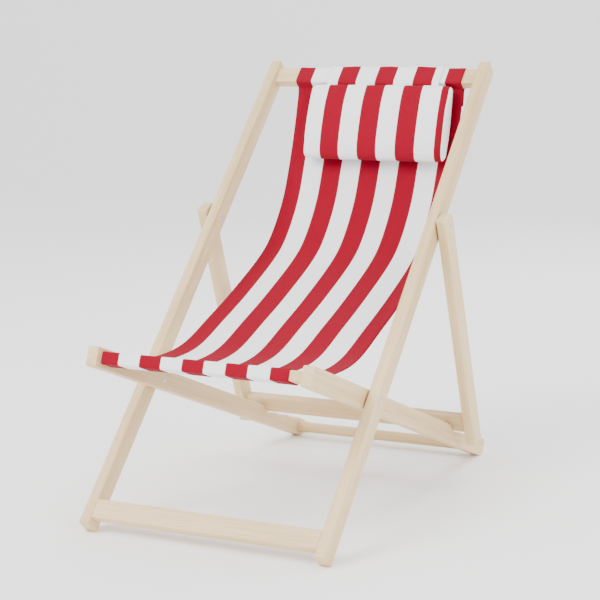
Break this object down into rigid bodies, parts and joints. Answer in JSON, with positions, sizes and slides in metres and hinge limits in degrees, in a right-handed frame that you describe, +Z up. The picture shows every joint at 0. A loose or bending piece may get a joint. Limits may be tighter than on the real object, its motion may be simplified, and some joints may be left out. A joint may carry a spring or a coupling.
{
  "type": "folding deck chair",
  "caption": "Folding wooden deck chair with a striped fabric sling, a hanging head pillow and a hinged prop frame that rests in notches.",
  "frame": {"origin": "centre of the open chair's box on the floor", "axes": "+X to the side, +Y to the back, +Z up"},
  "size_m": [0.5794, 0.8938, 0.8821],
  "materials": {
    "beech": "pale beech, sanded, clear satin",
    "steel": "zinc plated",
    "sling_canvas": "woven canvas with lengthwise red and white stripes",
    "pillow_canvas": "woven canvas with red and white stripes"
  },
  "bodies": {
    "main_frame": {"main_rail_left": "beech", "main_rail_right": "beech", "top_bar": "beech", "foot_board": "beech", "seat_bolt_left": "steel", "seat_bolt_right": "steel", "prop_bolt_left": "steel", "prop_bolt_right": "steel", "seat_nut_left": "steel", "seat_nut_right": "steel", "prop_nut_left": "steel", "prop_nut_right": "steel", "seat_washer_left": "steel", "seat_washer_right": "steel", "prop_washer_left": "steel", "prop_washer_right": "steel", "sling": "sling_canvas", "pillow_flap": "pillow_canvas"},
    "seat_frame": {"seat_rail_left": "beech", "seat_rail_right": "beech", "front_bar": "beech", "rear_rail": "beech"},
    "prop_frame": {"prop_leg_left": "beech", "prop_leg_right": "beech", "prop_crossbar": "beech"},
    "pillow": {"head_pillow": "pillow_canvas"}
  },
  "joints": [
    {"name": "seat_fold", "type": "hinge", "parent": "main_frame", "child": "seat_frame", "pos_m": [0, -0.19327, 0.25788], "axis": [1, 0, 0], "range_deg": [0, 66], "deforming": ["sling"]},
    {"name": "prop_fold", "type": "hinge", "parent": "main_frame", "child": "prop_frame", "pos_m": [0, 0.10077, 0.55919], "axis": [1, 0, 0], "range_deg": [0, 120]},
    {"name": "pillow_swing", "type": "hinge", "parent": "main_frame", "child": "pillow", "pos_m": [0, 0.35471, 0.84233], "axis": [1, 0, 0], "range_deg": [-41, 0]}
  ],
  "couplings": [
    {"joint": "prop_fold", "follows": "seat_fold", "ratio": 1.8},
    {"joint": "pillow_swing", "follows": "seat_fold", "ratio": -0.6}
  ]
}
